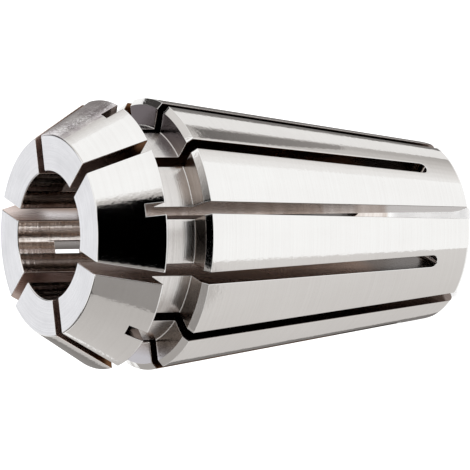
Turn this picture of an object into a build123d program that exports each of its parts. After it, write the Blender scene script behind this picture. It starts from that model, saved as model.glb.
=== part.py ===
from build123d import *
import os
from math import radians, tan

# Spring collet for a taper nut chuck: one turned, bored and slit piece of spring steel.
# It stands on its rear face. Z is its axis, Z = 0 is the rear face and the nose is up.
# X points midway between a slot from the front and a slot from the rear.
# Lengths are in millimetres and angles in degrees.

# Clamping taper
overall_length = 27.5
taper_diameter = 17.0          # at the taper's wide end, just behind the shoulder's break
taper_half_angle = 8.0
shoulder_depth = 6.6           # from the front face back to the shoulder's face
shoulder_break_radial = 0.4
shoulder_break_axial = 0.3
rear_edge_radius = 0.5

# Nose, which the nut presses on
nose_length = 3.75
nose_diameter = 16.86
nose_half_angle = 30.0
nose_edge_break = 0.12
face_edge_break = 0.08

# Groove that the nut's ring pulls on
groove_diameter = 13.6
groove_corner_radius = 0.15

# Bore for the tool's shank
bore_diameter = 8.0
front_bore_break = 0.1
rear_bore_break = 0.4

# Slots: as many from the front face as from the rear face, and evenly staggered
slots_per_end = 6
front_slot_width = 0.76
front_slot_web = 2.64          # metal between a front slot's round end and the rear face
rear_slot_width = 0.75
rear_slot_web = 2.64           # metal between a rear slot's flat end and the front face

# The slot cutters run past the metal by this much
cutter_overrun = 1.0

taper_slope = tan(radians(taper_half_angle))
nose_slope = tan(radians(nose_half_angle))
bore_radius = bore_diameter / 2
shoulder_height = overall_length - shoulder_depth
taper_height = shoulder_height - shoulder_break_axial
nose_rear_height = overall_length - nose_length
taper_radius = taper_diameter / 2
rear_radius = taper_radius - taper_height * taper_slope
face_radius = nose_diameter / 2 - nose_length * nose_slope
rear_face_width = rear_radius - bore_radius - rear_bore_break
rear_edge_rounding = min(rear_edge_radius, rear_face_width / 2)
slot_pitch = 360 / slots_per_end


def half_section():
    corners = {
        "rear_bore": (bore_radius, 0),
        "rear_edge": (rear_radius, 0),
        "taper_end": (taper_radius, taper_height),
        "shoulder_edge": (taper_radius - shoulder_break_radial, shoulder_height),
        "groove_rear": (groove_diameter / 2, shoulder_height),
        "groove_front": (groove_diameter / 2, nose_rear_height),
        "nose_edge": (nose_diameter / 2, nose_rear_height),
        "face_edge": (face_radius, overall_length),
        "front_bore": (bore_radius, overall_length),
    }
    section = make_face(Polyline(*corners.values(), close=True))

    def corner(name):
        return section.vertices().sort_by_distance(corners[name])[0]

    section = chamfer(corner("rear_bore"), rear_bore_break)
    section = chamfer(corner("front_bore"), front_bore_break)
    section = chamfer(corner("face_edge"), face_edge_break)
    section = chamfer(corner("nose_edge"), nose_edge_break)
    section = fillet(corner("rear_edge"), rear_edge_rounding)
    section = fillet([corner("groove_rear"), corner("groove_front")], groove_corner_radius)
    return Plane.XZ * section


def front_slot_cutter():
    # Open at the front face, with a full-round closed end near the rear face
    end_centre = front_slot_web + front_slot_width / 2
    length = overall_length + cutter_overrun - end_centre
    outline = Pos(0, end_centre + length / 2) * Rectangle(front_slot_width, length)
    outline += Pos(0, end_centre) * Circle(front_slot_width / 2)
    return extrude(Plane.YZ * outline, taper_radius + cutter_overrun)


def rear_slot_cutter():
    # Open at the rear face, with a flat closed end in the nose
    length = overall_length - rear_slot_web + cutter_overrun
    outline = Pos(0, length / 2 - cutter_overrun) * Rectangle(rear_slot_width, length)
    return extrude(Plane.YZ * outline, taper_radius + cutter_overrun)


def collet():
    body = revolve(half_section(), Axis.Z)
    front_slots = PolarLocations(0, slots_per_end, start_angle=-slot_pitch / 4)
    rear_slots = PolarLocations(0, slots_per_end, start_angle=slot_pitch / 4)
    body -= [place * front_slot_cutter() for place in front_slots]
    body -= [place * rear_slot_cutter() for place in rear_slots]
    return body


os.makedirs("parts", exist_ok=True)
export_step(collet(), "parts/collet.step")
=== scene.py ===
from math import asin, atan2, ceil, cos, degrees, hypot, pi, radians, sin, sqrt, tan

import bmesh
import bpy
from mathutils import Matrix, Vector


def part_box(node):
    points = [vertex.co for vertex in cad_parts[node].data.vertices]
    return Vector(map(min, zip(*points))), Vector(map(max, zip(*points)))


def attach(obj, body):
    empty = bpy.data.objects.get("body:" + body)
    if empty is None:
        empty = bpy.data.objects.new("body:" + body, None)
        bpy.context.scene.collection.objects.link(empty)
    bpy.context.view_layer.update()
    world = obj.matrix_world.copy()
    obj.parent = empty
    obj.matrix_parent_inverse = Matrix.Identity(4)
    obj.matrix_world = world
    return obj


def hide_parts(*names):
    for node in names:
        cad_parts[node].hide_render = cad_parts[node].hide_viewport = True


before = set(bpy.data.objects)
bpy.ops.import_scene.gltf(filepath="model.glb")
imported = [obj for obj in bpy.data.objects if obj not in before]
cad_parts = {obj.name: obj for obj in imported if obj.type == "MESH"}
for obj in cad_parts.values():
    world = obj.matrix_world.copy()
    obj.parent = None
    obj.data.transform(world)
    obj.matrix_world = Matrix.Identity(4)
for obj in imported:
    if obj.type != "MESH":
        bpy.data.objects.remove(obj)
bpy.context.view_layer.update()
scene = bpy.context.scene
mm = 0.001

colletBody = {
    "length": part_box("collet")[1].z,
    "boreRadius": 4.0 * mm,
    "rearBoreBreak": 0.4 * mm,
    "rearEdgeRadius": 0.5 * mm,
    "taperRadius": 8.5 * mm,          # at the taper's wide end
    "taperAngle": radians(8),
    "shoulderDepth": 6.6 * mm,        # from the front face
    "shoulderBreakOut": 0.4 * mm,
    "shoulderBreakDown": 0.3 * mm,
    "grooveRadius": 6.8 * mm,
    "grooveCorner": 0.07 * mm,
    "noseRadius": 8.43 * mm,
    "noseLength": 3.75 * mm,
    "noseAngle": radians(30),
    "noseEdge": 0.12 * mm,
    "faceEdge": 0.09 * mm,
    "shoulderEdge": 0.02 * mm,        # rounding at both ends of the shoulder's break
    "turnedEdge": 0.06 * mm,          # rounding on the other turned edges
    "frontSlotWidth": 0.76 * mm,
    "frontSlotWeb": 2.64 * mm,        # metal between the round end and the rear face
    "rearSlotWidth": 0.75 * mm,
    "rearSlotWeb": 2.64 * mm,         # metal between the flat end and the front face
    "slotEdge": 0.05 * mm,            # deburring along the slots
}

colletMesh = {
    "slots": 12,                      # even ones open at the rear, odd ones at the front
    "firstSlot": radians(15),
    "slotColumns": 8,
    "landColumns": 16,
    "rowLength": 0.7 * mm,
    "edgeSteps": 2,
    "closeTo": 0.001 * mm,            # points this near a height or a radius count as on it
    "endCornerReach": 1.2 * mm,       # a closed end's corner crosses at least this much metal
    "endCornerRise": 0.1 * mm,        # and climbs less than this on the way
}


def outlineCorners(body):
    # (radius, height, rounding, steps) once round the half section, from the bore's rear edge
    length = body["length"]
    bore = body["boreRadius"]
    shoulder = length - body["shoulderDepth"]
    taperTop = shoulder - body["shoulderBreakDown"]
    noseRear = length - body["noseLength"]
    faceRadius = body["noseRadius"] - body["noseLength"] * tan(body["noseAngle"])
    rearRadius = taperRadiusAt(body, 0)
    frontEnd = frontSlotEnd(body)
    rearEnd = length - body["rearSlotWeb"]
    rearEdge = body["rearEdgeRadius"] / tan((pi / 2 + body["taperAngle"]) / 2)
    turned = body["turnedEdge"]
    return [
        (bore, body["rearBoreBreak"], turned, 2),
        (bore + body["rearBoreBreak"], 0, turned, 2),
        (rearRadius, 0, rearEdge, 6),
        (taperRadiusAt(body, frontEnd), frontEnd, 0, 0),
        (body["taperRadius"], taperTop, body["shoulderEdge"], 2),
        (body["taperRadius"] - body["shoulderBreakOut"], shoulder, body["shoulderEdge"], 2),
        (body["grooveRadius"], shoulder, body["grooveCorner"], 4),
        (body["grooveRadius"], noseRear, body["grooveCorner"], 4),
        (body["noseRadius"], noseRear, body["noseEdge"], 4),
        (faceRadius + body["rearSlotWeb"] * tan(body["noseAngle"]), rearEnd, 0, 0),
        (faceRadius, length, body["faceEdge"], 3),
        (bore, length, body["faceEdge"], 3),
        (bore, rearEnd, 0, 0),
        (bore, frontEnd, 0, 0),
    ]


def frontSlotEnd(body):
    # height of the centre of a front slot's round end
    return body["frontSlotWeb"] + body["frontSlotWidth"] / 2


def taperRadiusAt(body, height):
    taperTop = body["length"] - body["shoulderDepth"] - body["shoulderBreakDown"]
    return body["taperRadius"] - (taperTop - height) * tan(body["taperAngle"])


def turnBlank(bm, body, grid):
    # the half section's outline, rounded at its corners and spun into a ring of rows and columns
    corners = outlineCorners(body)
    points = [bm.verts.new((radius, 0, height)) for radius, height, _, _ in corners]
    bm.faces.new(points)
    for point, (_, _, rounding, steps) in zip(points, corners):
        if rounding:
            bmesh.ops.bevel(bm, geom=[point], offset=rounding, segments=steps, profile=0.5,
                            affect="VERTICES", material=-1)
    bmesh.ops.delete(bm, geom=[f for f in bm.faces], context="FACES_ONLY")
    for edge in list(bm.edges):
        cuts = ceil(edge.calc_length() / grid["rowLength"]) - 1
        if cuts:
            bmesh.ops.subdivide_edges(bm, edges=[edge], cuts=cuts)
    columns = grid["slots"] * (grid["slotColumns"] + grid["landColumns"])
    bmesh.ops.spin(bm, geom=bm.verts[:] + bm.edges[:], cent=(0, 0, 0), axis=(0, 0, 1), dvec=(0, 0, 0),
                   angle=2 * pi, steps=columns, use_merge=True, use_duplicate=False)


def slotPlace(co, grid):
    # which slot a point of the spun ring is nearest to, and how many columns it lies from its middle
    perSlot = grid["slotColumns"] + grid["landColumns"]
    column = atan2(co.y, co.x) / (2 * pi) * grid["slots"] * perSlot
    slot = round(column / perSlot)
    return slot % grid["slots"], column - slot * perSlot


def cutSlots(bm, body, grid):
    # removes the ring's skin over each slot and moves the rest on to the slots' parallel walls
    halfSlot = grid["slotColumns"] / 2
    halfCell = halfSlot + grid["landColumns"] / 2
    frontEnd = frontSlotEnd(body)
    rearEnd = body["length"] - body["rearSlotWeb"]
    skin = []
    for face in bm.faces:
        middle = face.calc_center_median()
        slot, offset = slotPlace(middle, grid)
        opened = middle.z > frontEnd if slot % 2 else middle.z < rearEnd
        if abs(offset) < halfSlot and opened:
            skin.append(face)
    bmesh.ops.delete(bm, geom=skin, context="FACES")

    endPoints = {slot: [] for slot in range(grid["slots"])}
    halfPitch = pi / grid["slots"]
    for vert in bm.verts:
        slot, offset = slotPlace(vert.co, grid)
        offset = round(offset)
        radius = hypot(vert.co.x, vert.co.y)
        height = vert.co.z
        fromFront = slot % 2 == 1
        halfWidth = body["frontSlotWidth" if fromFront else "rearSlotWidth"] / 2
        inSlot = abs(offset) <= halfSlot
        if inSlot:
            aside = halfWidth * sin(abs(offset) / halfSlot * pi / 2)
            atEnd = abs(height - (frontEnd if fromFront else rearEnd)) < grid["closeTo"]
            if atEnd:
                endPoints[slot].append(vert)
            if atEnd and fromFront:
                height = frontEnd - sqrt(max(halfWidth ** 2 - aside ** 2, 0))
                if radius > body["boreRadius"] + grid["closeTo"]:
                    radius = taperRadiusAt(body, height)
            angle = asin(aside / radius)
        else:
            wall = asin(halfWidth / radius)
            share = (abs(offset) - halfSlot) / (halfCell - halfSlot)
            angle = wall + share * (halfPitch - wall)
        angle = 2 * halfPitch * slot + (angle if offset > 0 else -angle)
        vert.co = (radius * cos(angle), radius * sin(angle), height)
    return endPoints


def closeSlots(bm, endPoints, grid):
    # the slots' closed ends, then their walls; returns the edges that the slots leave
    ends = []
    for points in endPoints.values():
        points = set(points)
        rims = [e for e in bm.edges if e.is_boundary and points.issuperset(e.verts)]
        ends += rims
        bmesh.ops.bridge_loops(bm, edges=rims)
    openEdges = [e for e in bm.edges if e.is_boundary]
    endCorners = {e for e in openEdges if isEndCorner(e, grid)}
    walls = bmesh.ops.holes_fill(bm, edges=openEdges, sides=0)["faces"]
    print("slot walls:", len(walls))
    wallEdges = {e for face in walls for e in face.edges}
    return list((wallEdges - endCorners) | set(ends))


def isEndCorner(edge, grid):
    # a closed end's corner crosses the metal from the bore to the outside
    inner, outer = sorted(hypot(v.co.x, v.co.y) for v in edge.verts)
    rise = abs(edge.verts[0].co.z - edge.verts[1].co.z)
    return outer - inner > grid["endCornerReach"] and rise < grid["endCornerRise"]


def makeCollet(body, grid):
    bm = bmesh.new()
    turnBlank(bm, body, grid)
    endPoints = cutSlots(bm, body, grid)
    slotEdges = closeSlots(bm, endPoints, grid)
    bmesh.ops.recalc_face_normals(bm, faces=bm.faces)
    bmesh.ops.bevel(bm, geom=slotEdges, offset=body["slotEdge"], segments=grid["edgeSteps"], profile=0.5,
                    affect="EDGES", material=-1)
    bmesh.ops.rotate(bm, verts=bm.verts, cent=(0, 0, 0), matrix=Matrix.Rotation(grid["firstSlot"], 3, "Z"))
    for face in bm.faces:
        face.smooth = True
    mesh = bpy.data.meshes.new("polishedCollet")
    bm.to_mesh(mesh)
    print("open edges:", sum(1 for e in bm.edges if not e.is_manifold), "faces:", len(bm.faces))
    bm.free()
    piece = bpy.data.objects.new("polishedCollet", mesh)
    scene.collection.objects.link(piece)
    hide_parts("collet")
    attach(piece, "root")
    return piece


# the fade near the bore reaches further out towards the front, by this much for each height
depthSlant = 0.1


def newGroup(name, inputs, outputs):
    group = bpy.data.node_groups.new(name, "ShaderNodeTree")
    for label, value in inputs.items():
        socket = group.interface.new_socket(label, in_out="INPUT", socket_type="NodeSocketFloat")
        socket.default_value = value
    for label in outputs:
        group.interface.new_socket(label, in_out="OUTPUT", socket_type="NodeSocketFloat")
    return group


def put(tree, kind, settings=None, values=None, links=None):
    # adds a node, then sets its options and its sockets' values and links it up
    node = tree.nodes.new(kind)
    for label, value in (settings or {}).items():
        setattr(node, label, value)
    for label, value in (values or {}).items():
        node.inputs[label].default_value = value
    for label, source in (links or {}).items():
        tree.links.new(source, node.inputs[label])
    return node


def maths(tree, operation, first, second):
    node = put(tree, "ShaderNodeMath", {"operation": operation})
    for socket, value in zip(node.inputs, (first, second)):
        if isinstance(value, (int, float)):
            socket.default_value = value
        else:
            tree.links.new(value, socket)
    return node.outputs[0]


def makeTurnedLines():
    # fine rings round the axis, as a tool or a wheel leaves them on a face, a cone or a cylinder,
    # and the measures that the tone fades go by
    group = newGroup("turnedLines", {"Lines": 8000, "Wander": 60, "Break": 2},
                     ["Height", "Depth", "Up", "Side"])
    given = put(group, "NodeGroupInput")
    place = put(group, "ShaderNodeTexCoord").outputs["Object"]
    axes = put(group, "ShaderNodeSeparateXYZ", links={"Vector": place}).outputs
    flat = put(group, "ShaderNodeCombineXYZ", links={"X": axes["X"], "Y": axes["Y"]}).outputs[0]
    radius = put(group, "ShaderNodeVectorMath", {"operation": "LENGTH"}, links={0: flat}).outputs["Value"]
    along = maths(group, "ADD", radius, axes["Z"])
    ring = put(group, "ShaderNodeCombineXYZ", links={
        "X": maths(group, "MULTIPLY", axes["X"], given.outputs["Wander"]),
        "Y": maths(group, "MULTIPLY", axes["Y"], given.outputs["Wander"]),
        "Z": maths(group, "MULTIPLY", along, given.outputs["Lines"]),
    }).outputs[0]
    noise = put(group, "ShaderNodeTexNoise", values={"Scale": 1.0, "Roughness": 0.6},
                links={"Vector": ring, "Detail": given.outputs["Break"]})
    depth = maths(group, "SUBTRACT", radius, maths(group, "MULTIPLY", axes["Z"], depthSlant))
    put(group, "NodeGroupOutput", links={
        "Height": noise.outputs["Fac"], "Depth": depth, "Up": axes["Z"], "Side": axes["Y"]})
    return group


def makeClouding():
    # slow unevenness left by polishing and handling
    group = newGroup("clouding", {"Scale": 700, "Stretch": 0.4, "Soft": 3}, ["Cloud"])
    given = put(group, "NodeGroupInput")
    place = put(group, "ShaderNodeTexCoord").outputs["Object"]
    axes = put(group, "ShaderNodeSeparateXYZ", links={"Vector": place}).outputs
    stretched = put(group, "ShaderNodeCombineXYZ", links={
        "X": axes["X"], "Y": axes["Y"], "Z": maths(group, "MULTIPLY", axes["Z"], given.outputs["Stretch"]),
    }).outputs[0]
    noise = put(group, "ShaderNodeTexNoise", links={
        "Vector": stretched, "Scale": given.outputs["Scale"], "Detail": given.outputs["Soft"]})
    put(group, "NodeGroupOutput", links={"Cloud": noise.outputs["Fac"]})
    return group


turnedLines = makeTurnedLines()
clouding = makeClouding()

# lines, grain and clouds are given by how many there are to a metre and by their depth in millimetres
steelFinishes = {
    "groundSteel": {"light": (0.92, 0.915, 0.90), "dark": (0.875, 0.865, 0.85), "roughness": (0.04, 0.09),
                    "lines": 11000, "lineDepth": 0.0002, "cloudDepth": 0.002,
                    "grain": 5000, "grainDepth": 0.004},
    "handledSteel": {"light": (0.95, 0.93, 0.93), "dark": (0.55, 0.50, 0.53), "roughness": (0.05, 0.17),
                     "lines": 6000, "lineDepth": 0.0012, "clouds": 1400, "cloudDepth": 0.004,
                     "grain": 5000, "grainDepth": 0.006},
    "facedSteel": {"light": (0.82, 0.82, 0.845), "dark": (0.67, 0.67, 0.695), "roughness": (0.13, 0.22),
                   "lines": 24000, "lineDepth": 0.0003, "cloudDepth": 0.002,
                   "grain": 5000, "grainDepth": 0.002},
    "turnedSteel": {"light": (0.82, 0.80, 0.78), "dark": (0.69, 0.665, 0.645), "roughness": (0.22, 0.29),
                    "lines": 7000, "lineDepth": 0.004, "cloudDepth": 0.002,
                    "grain": 5000, "grainDepth": 0.002},
    "scaledSteel": {"light": (0.45, 0.39, 0.35), "dark": (0.30, 0.25, 0.215), "roughness": (0.15, 0.22),
                    # painted shade on the shoulder wall towards +y and painted light towards -y, in place
                    # of what it mirrors
                    "paintedShadePlusY": (0.125, 0.105, 0.112), "paintedLightMinusY": (0.50, 0.485, 0.515),
                    "lines": 7000, "lineDepth": 0.004, "cloudDepth": 0.002,
                    "grain": 5000, "grainDepth": 0.004},
    "boredSteel": {"light": (0.97, 0.915, 0.88), "dark": (0.54, 0.45, 0.39), "roughness": (0.04, 0.08),
                   "lines": 2600, "lineDepth": 0.018, "cloudDepth": 0.002,
                   "grain": 5000, "grainDepth": 0.002},
    "slitSteel": {"light": (0.27, 0.225, 0.205), "dark": (0.18, 0.145, 0.13), "roughness": (0.10, 0.20),
                  # painted light: the rear slots' walls turn pale near the bore, where light comes in
                  # through it
                  "paintedLightNearBore": (0.98, 0.955, 0.945),
                  "lines": 4000, "lineDepth": 0.002, "cloudDepth": 0.002,
                  "grain": 4000, "grainDepth": 0.004},
    "scorchedSteel": {"light": (0.22, 0.11, 0.055), "dark": (0.12, 0.055, 0.025), "roughness": (0.20, 0.32),
                      # painted light: the front slots' walls turn pale near the bore and near the open
                      # front, where light comes in
                      "paintedLightNearBore": (0.88, 0.83, 0.84), "paintedLightNearFront": (0.72, 0.59, 0.54),
                      # painted shade: the front slots' walls darken towards the closed end, where little
                      # light reaches
                      "paintedShadeDeepIn": (0.04, 0.022, 0.013),
                      "lines": 4000, "lineDepth": 0.002, "cloudDepth": 0.002,
                      "grain": 4000, "grainDepth": 0.006},
}

# where the clouds of each texture start and end to tell, and how many there are to a metre on a
# finish that doesn't say
steelClouds = {
    "toneRange": (0.35, 0.65),
    "glossRange": (0.3, 0.7),
    "plain": 500,
}

# painted light and shade laid over a finish's own tones: in the slots painted light near the bore and
# near the open front and painted shade towards the closed end, and on the shoulder painted shade towards +y
# and painted light towards -y; the measure that each goes by, and where on it the fade starts and ends
paintedLightAndShade = {
    # painted light on the slot walls near the bore
    "paintedLightNearBore": ("Depth", 3.8 * mm, 2.4 * mm),
    # painted light on the front slots' walls near the open front
    "paintedLightNearFront": ("Up", 24.6 * mm, 27.2 * mm),
    # painted shade on the front slots' walls towards the closed end
    "paintedShadeDeepIn": ("Up", 8.0 * mm, 6.8 * mm),
    # painted shade on the shoulder wall towards +y, painted light towards -y
    "paintedShadePlusY": ("Side", 4.0 * mm, 6.3 * mm),
    "paintedLightMinusY": ("Side", -6.6 * mm, -7.6 * mm),
}


def makeSteel(name, finish):
    material = bpy.data.materials.new(name)
    material.use_nodes = True
    tree = material.node_tree
    shader = tree.nodes["Principled BSDF"]
    shader.inputs["Metallic"].default_value = 1
    turned = put(tree, "ShaderNodeGroup", {"node_tree": turnedLines}, {"Lines": finish["lines"]}).outputs
    lines = turned["Height"]
    cloud = put(tree, "ShaderNodeGroup", {"node_tree": clouding},
                {"Scale": finish.get("clouds", steelClouds["plain"])}).outputs["Cloud"]
    grain = put(tree, "ShaderNodeGroup", {"node_tree": clouding},
                {"Scale": finish["grain"], "Stretch": 1.0, "Soft": 2}).outputs["Cloud"]
    mottle = maths(tree, "DIVIDE", maths(tree, "ADD", lines, cloud), 2)
    start, end = steelClouds["toneRange"]
    spread = put(tree, "ShaderNodeMapRange", values={"From Min": start, "From Max": end},
                 links={"Value": mottle})
    tone = put(tree, "ShaderNodeMix", {"data_type": "RGBA"}, links={"Factor": spread.outputs["Result"]})
    tone.inputs["A"].default_value = (*finish["dark"], 1)
    tone.inputs["B"].default_value = (*finish["light"], 1)
    # lays the painted light and shade over the finish's own tones
    for side, (measure, start, end) in paintedLightAndShade.items():
        if side not in finish:
            continue
        fade = put(tree, "ShaderNodeMapRange", values={"From Min": start, "From Max": end},
                   links={"Value": turned[measure]})
        faded = put(tree, "ShaderNodeMix", {"data_type": "RGBA"}, links={"Factor": fade.outputs["Result"]})
        faded.inputs["B"].default_value = (*finish[side], 1)
        tree.links.new(tone.outputs["Result"], faded.inputs["A"])
        tone = faded
    tree.links.new(tone.outputs["Result"], shader.inputs["Base Color"])
    smooth, rough = finish["roughness"]
    start, end = steelClouds["glossRange"]
    gloss = put(tree, "ShaderNodeMapRange", links={"Value": cloud},
                values={"From Min": start, "From Max": end, "To Min": smooth, "To Max": rough})
    tree.links.new(gloss.outputs["Result"], shader.inputs["Roughness"])
    normal = None
    for height, depth in ((cloud, "cloudDepth"), (grain, "grainDepth"), (lines, "lineDepth")):
        bump = put(tree, "ShaderNodeBump", values={"Strength": 1, "Distance": finish[depth] * mm},
                   links={"Height": height})
        if normal:
            tree.links.new(normal, bump.inputs["Normal"])
        normal = bump.outputs["Normal"]
    tree.links.new(normal, shader.inputs["Normal"])
    return material


# how the faces are told apart
faceKinds = {
    "handledMiddle": radians(90),     # the nose's most handled segment, by its middle's azimuth
    "handledHalf": radians(15),       # and half its angle
    "nearPlace": 0.02 * mm,           # how near a turned face lies to its own radius or height
    "flat": 0.95,                     # a flat turned face points along the axis at least this much
    "wallAlong": 0.7,                 # a slot's wall points along it less than this
    "wallOutward": 0.6,               # and outward less than this
}


def finishCollet(piece, body, grid):
    # each face takes the finish of the operation that made it
    names = list(steelFinishes)
    for name in names:
        piece.data.materials.append(makeSteel(name, steelFinishes[name]))
    shoulder = body["length"] - body["shoulderDepth"]
    noseRear = body["length"] - body["noseLength"]
    rearEnd = body["length"] - body["rearSlotWeb"]
    near = faceKinds["nearPlace"]
    turnUpright = Matrix.Rotation(-grid["firstSlot"], 3, "Z")
    for face in piece.data.polygons:
        middle = face.center
        outward = Vector((middle.x, middle.y, 0)).normalized()
        radius = hypot(middle.x, middle.y)
        slot, _ = slotPlace(turnUpright @ middle, grid)
        along = abs(face.normal.z)
        fullyFlat = along > faceKinds["flat"]
        aside = abs(atan2(middle.y, middle.x) - faceKinds["handledMiddle"])
        if along < faceKinds["wallAlong"] and abs(face.normal.dot(outward)) < faceKinds["wallOutward"]:
            name = "scorchedSteel" if slot % 2 else "slitSteel"
        elif radius < body["boreRadius"] + near:
            name = "boredSteel"
        elif abs(middle.z - shoulder) < near and fullyFlat:
            name = "scaledSteel"
        elif shoulder - near < middle.z < noseRear + near:
            name = "turnedSteel"
        elif fullyFlat and abs(middle.z - rearEnd) < near:
            name = "slitSteel"
        elif fullyFlat:
            name = "facedSteel"
        elif middle.z > noseRear and aside < faceKinds["handledHalf"]:
            name = "handledSteel"
        else:
            name = "groundSteel"
        face.material_index = names.index(name)


def shadeByArea(mesh):
    # the larger faces set the shading, so a flat stays flat up to its rounded edges
    normals = [Vector() for _ in mesh.vertices]
    for face in mesh.polygons:
        for vert in face.vertices:
            normals[vert] += face.normal * face.area / mm ** 2
    mesh.normals_split_custom_set_from_vertices([n.normalized() for n in normals])


collet = makeCollet(colletBody, colletMesh)
finishCollet(collet, colletBody, colletMesh)
shadeByArea(collet.data)
print("collet modelled")

cameraPlace = {
    "location": Vector((372.65, 27.41, 232.74)) * mm,
    "right": Vector((0.5047, 0.02261, -0.863)),
    "back": Vector((0.86074, 0.06364, 0.50504)),
    "focalLength": 526.6,
    "sensorWidth": 36,
    "clipStart": 0.01,
}


def placeCamera(settings):
    data = bpy.data.cameras.new("camera")
    data.lens = settings["focalLength"]
    data.sensor_width = settings["sensorWidth"]
    data.clip_start = settings["clipStart"]
    camera = bpy.data.objects.new("camera", data)
    scene.collection.objects.link(camera)
    back = settings["back"].normalized()
    up = back.cross(settings["right"]).normalized()
    right = up.cross(back)
    turn = Matrix((right, up, back)).transposed()
    camera.matrix_world = Matrix.Translation(settings["location"]) @ turn.to_4x4()
    scene.camera = camera


placeCamera(cameraPlace)

white = (1, 1, 1, 1)
studio = {
    "aim": Vector((0, 0, 20)) * mm,
    "worldLevel": 1.0,
    "floorSize": 3.0,
    "floorTone": 0.85,
    "floorGlow": 0.6,                 # what the camera sees over the paint
    "floorInMetal": 1.0,
    "floorCardHeight": 0.1 * mm,
    "floorCardStep": 0.01 * mm,       # each card laid over another lies this much higher
    "dimTint": (1, 0.94, 0.90),
}

# cards that only the metal sees. Each has one level, or fades between two. First those hung
# round the collet: how far off, half the height in degrees, then the azimuth and elevation of
# places along it, in degrees, with the level there
hungCards = {
    "darkFront": (0.50, 39, ((-26, 42, 0), (5, 42, 0), (36, 42, 0))),
    "sideShade": (0.47, 15, ((-48, 40, 0.05), (-90, 35, 0.05), (-130, 33, 0.05), (-155, 31, 0.6))),
    "topPale": (0.47, 13, ((92, 34, 0.7), (120, 31, 0.7), (147, 31, 0.7))),
    "topShade": (0.47, 13, ((147, 31, 0.05), (172, 31, 0.05))),
}

# cards hung where one cone of the collet mirrors them to the camera: the angles round that cone
# between which each is seen, in degrees, and the level at its two ends
coneCards = {
    "nose": {
        "radius": 7.3 * mm, "height": 25.6 * mm, "tilt": 30, "distance": 0.44, "halfHeight": 5,
        "cards": {"side": (-68, -31, 0.6, 0.5), "near": (-31, -10, 0.3, 0.3), "black": (-10, 18, 0, 0),
                  "softEdge": (18, 24, 0, 0.9), "top": (66, 82, 0.9, 0.4)},
    },
    "break": {
        "radius": 8.3 * mm, "height": 20.75 * mm, "tilt": 53, "distance": 0.42, "halfHeight": 4.5,
        "cards": {"side": (-92, -42, 0.4, 0.4), "near": (-42, -11, 0.3, 0.3), "black": (-11, 15, 0, 0),
                  "softEdge": (15, 40, 0, 0.7), "top": (72, 92, 0.05, 0.05)},
    },
}

# glowing sheets on the floor that only the metal sees, as reflections, fanning out from the collet's foot:
# the angles round the foot between which each lies, in degrees, and the level at its two sides
floorFan = {
    "foot": 5.7 * mm,
    "reach": 37 * mm,
    "turnPerAngle": 2.08,             # a sheet heads off further round than it starts
    "turnAtFront": -4.6,
    "cards": {"sideDark": (-95, -66, 0.2, 0.2), "side": (-66, -8, 0.6, 0.7), "softEdge": (36, 57, 0.9, 0.4),
              "other": (57, 68, 0.85, 0.85), "otherDark": (68, 88, 0.2, 0.2)},
}
longestTurn = 4                       # degrees between one place along a card and the next

# more glowing sheets that only the metal sees, laid over the fan: for both ends of a sheet the place, in
# millimetres, and the level of its two corners
floorSheets = {
    "patch": (((-0.9, 14.7, 0.3), (0.5, 14.9, 0.3)), ((-6.4, 29.3, 0.15), (1, 29.2, 0.15))),
    "farSide": (((-40, -20, 0.55), (-900, -420, 0.55)), ((30, -44, 0.55), (900, -900, 0.55))),
    "farFront": (((2, -42, 0.55), (3, -56, 0.55)), ((41, 7, 0.55), (55, 9, 0.55))),
    "farOther": (((-42, 2, 0.3), (-125, 8, 0.3)), ((-36, -50, 0.2), (-84, -97, 0.2))),
    "farTop": (((-48, 12, 0.2), (-70, 11, 0.4)), ((-240, 230, 0.2), (-360, 335, 0.4))),
}


def makeCardPaper():
    # glows at the level painted on each corner, and a little warmer where it is dim
    material = bpy.data.materials.new("cardPaper")
    material.use_nodes = True
    tree = material.node_tree
    tree.nodes.clear()
    level = put(tree, "ShaderNodeAttribute", {"attribute_name": "level"}).outputs["Fac"]
    tint = put(tree, "ShaderNodeMix", {"data_type": "RGBA"},
               links={"Factor": maths(tree, "MULTIPLY", level, level)})
    tint.inputs["A"].default_value = (*studio["dimTint"], 1)
    tint.inputs["B"].default_value = white
    glow = put(tree, "ShaderNodeEmission", links={"Color": tint.outputs["Result"], "Strength": level})
    put(tree, "ShaderNodeOutputMaterial", links={"Surface": glow.outputs[0]})
    return material


def addStrip(name, pairs):
    # paper between pairs of painted points, one pair at each step along it
    bm = bmesh.new()
    painted = bm.verts.layers.float.new("level")
    rungs = []
    for pair in pairs:
        rung = []
        for place, level in pair:
            vert = bm.verts.new(place)
            vert[painted] = level
            rung.append(vert)
        rungs.append(rung)
    for (a, b), (c, d) in zip(rungs, rungs[1:]):
        bm.faces.new((a, b, d, c))
    mesh = bpy.data.meshes.new(name)
    bm.to_mesh(mesh)
    bm.free()
    mesh.materials.append(cardPaper)
    card = bpy.data.objects.new(name, mesh)
    scene.collection.objects.link(card)
    card.visible_camera = False
    card.visible_diffuse = False
    card.visible_shadow = False


def heading(azimuth, elevation=0):
    azimuth, elevation = radians(azimuth), radians(elevation)
    return Vector((cos(elevation) * cos(azimuth), cos(elevation) * sin(azimuth), sin(elevation)))


def joined(first, second):
    return first + second[0].upper() + second[1:]


def hangCard(name, distance, halfHeight, path):
    pairs = []
    for azimuth, elevation, level in path:
        pairs.append([(studio["aim"] + heading(azimuth, elevation + side) * distance, level)
                      for side in (-halfHeight, halfHeight)])
    addStrip(name, pairs)


def placesAlong(first, last, firstLevel, lastLevel):
    # angles a few degrees apart from one end of a card to the other, each with its level
    count = ceil((last - first) / longestTurn)
    turn, rise = (last - first) / count, (lastLevel - firstLevel) / count
    return [(first + turn * step, firstLevel + rise * step) for step in range(count + 1)]


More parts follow.
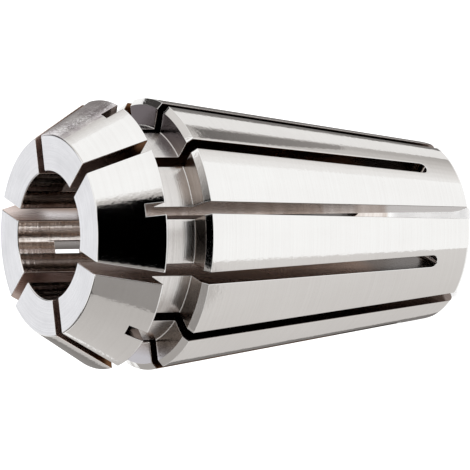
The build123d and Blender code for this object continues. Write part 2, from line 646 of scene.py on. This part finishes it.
def hangConeCard(name, cone, card):
    pairs = []
    for angle, level in placesAlong(*card):
        place = heading(angle) * cone["radius"] + Vector((0, 0, cone["height"]))
        sight = (place - cameraPlace["location"]).normalized()
        away = sight.reflect(heading(angle, cone["tilt"]))
        azimuth, elevation = degrees(atan2(away.y, away.x)), degrees(asin(away.z))
        pairs.append([(place + heading(azimuth, elevation + side) * cone["distance"], level)
                      for side in (-cone["halfHeight"], cone["halfHeight"])])
    addStrip(name, pairs)


def layFanCard(name, fan, card):
    lift = Vector((0, 0, studio["floorCardHeight"]))
    pairs = []
    for angle, level in placesAlong(*card):
        start = heading(angle) * fan["foot"] + lift
        way = heading(fan["turnAtFront"] + fan["turnPerAngle"] * angle)
        pairs.append(((start, level), (start + way * fan["reach"], level)))
    addStrip(name, pairs)


def laySheet(name, ends, layer):
    lift = studio["floorCardHeight"] + layer * studio["floorCardStep"]
    addStrip(name, [[((x * mm, y * mm, lift), level) for x, y, level in end] for end in ends])


def makeFloor(settings):
    bm = bmesh.new()
    bmesh.ops.create_grid(bm, x_segments=1, y_segments=1, size=settings["floorSize"] / 2)
    mesh = bpy.data.meshes.new("floor")
    bm.to_mesh(mesh)
    bm.free()
    material = bpy.data.materials.new("floor")
    material.use_nodes = True
    tree = material.node_tree
    tree.nodes.clear()
    tone = settings["floorTone"]
    paint = put(tree, "ShaderNodeBsdfDiffuse", values={"Color": (tone, tone, tone, 1)})
    seen = put(tree, "ShaderNodeLightPath").outputs
    toCamera = maths(tree, "MULTIPLY", seen["Is Camera Ray"], settings["floorGlow"])
    cameraGlow = put(tree, "ShaderNodeEmission", links={"Strength": toCamera})
    painted = put(tree, "ShaderNodeAddShader", links={0: paint.outputs[0], 1: cameraGlow.outputs[0]})
    metalGlow = put(tree, "ShaderNodeEmission", values={"Strength": settings["floorInMetal"]})
    toMetal = maths(tree, "MAXIMUM", seen["Is Glossy Ray"], seen["Is Transmission Ray"])
    both = put(tree, "ShaderNodeMixShader",
               links={0: toMetal, 1: painted.outputs[0], 2: metalGlow.outputs[0]})
    put(tree, "ShaderNodeOutputMaterial", links={"Surface": both.outputs[0]})
    mesh.materials.append(material)
    floor = bpy.data.objects.new("floor", mesh)
    scene.collection.objects.link(floor)


makeFloor(studio)
cardPaper = makeCardPaper()
for name, card in hungCards.items():
    hangCard(name, *card)
for coneName, cone in coneCards.items():
    for name, card in cone["cards"].items():
        hangConeCard(joined(coneName, name), cone, card)
for name, card in floorFan["cards"].items():
    layFanCard(joined("fan", name), floorFan, card)
for layer, (name, ends) in enumerate(floorSheets.items(), start=1):
    laySheet(name, ends, layer)
print("studio set up")

scene.view_settings.view_transform = "Standard"
world = bpy.data.worlds.new("world")
scene.world = world
world.use_nodes = True
background = world.node_tree.nodes["Background"]
background.inputs["Color"].default_value = white
background.inputs["Strength"].default_value = studio["worldLevel"]
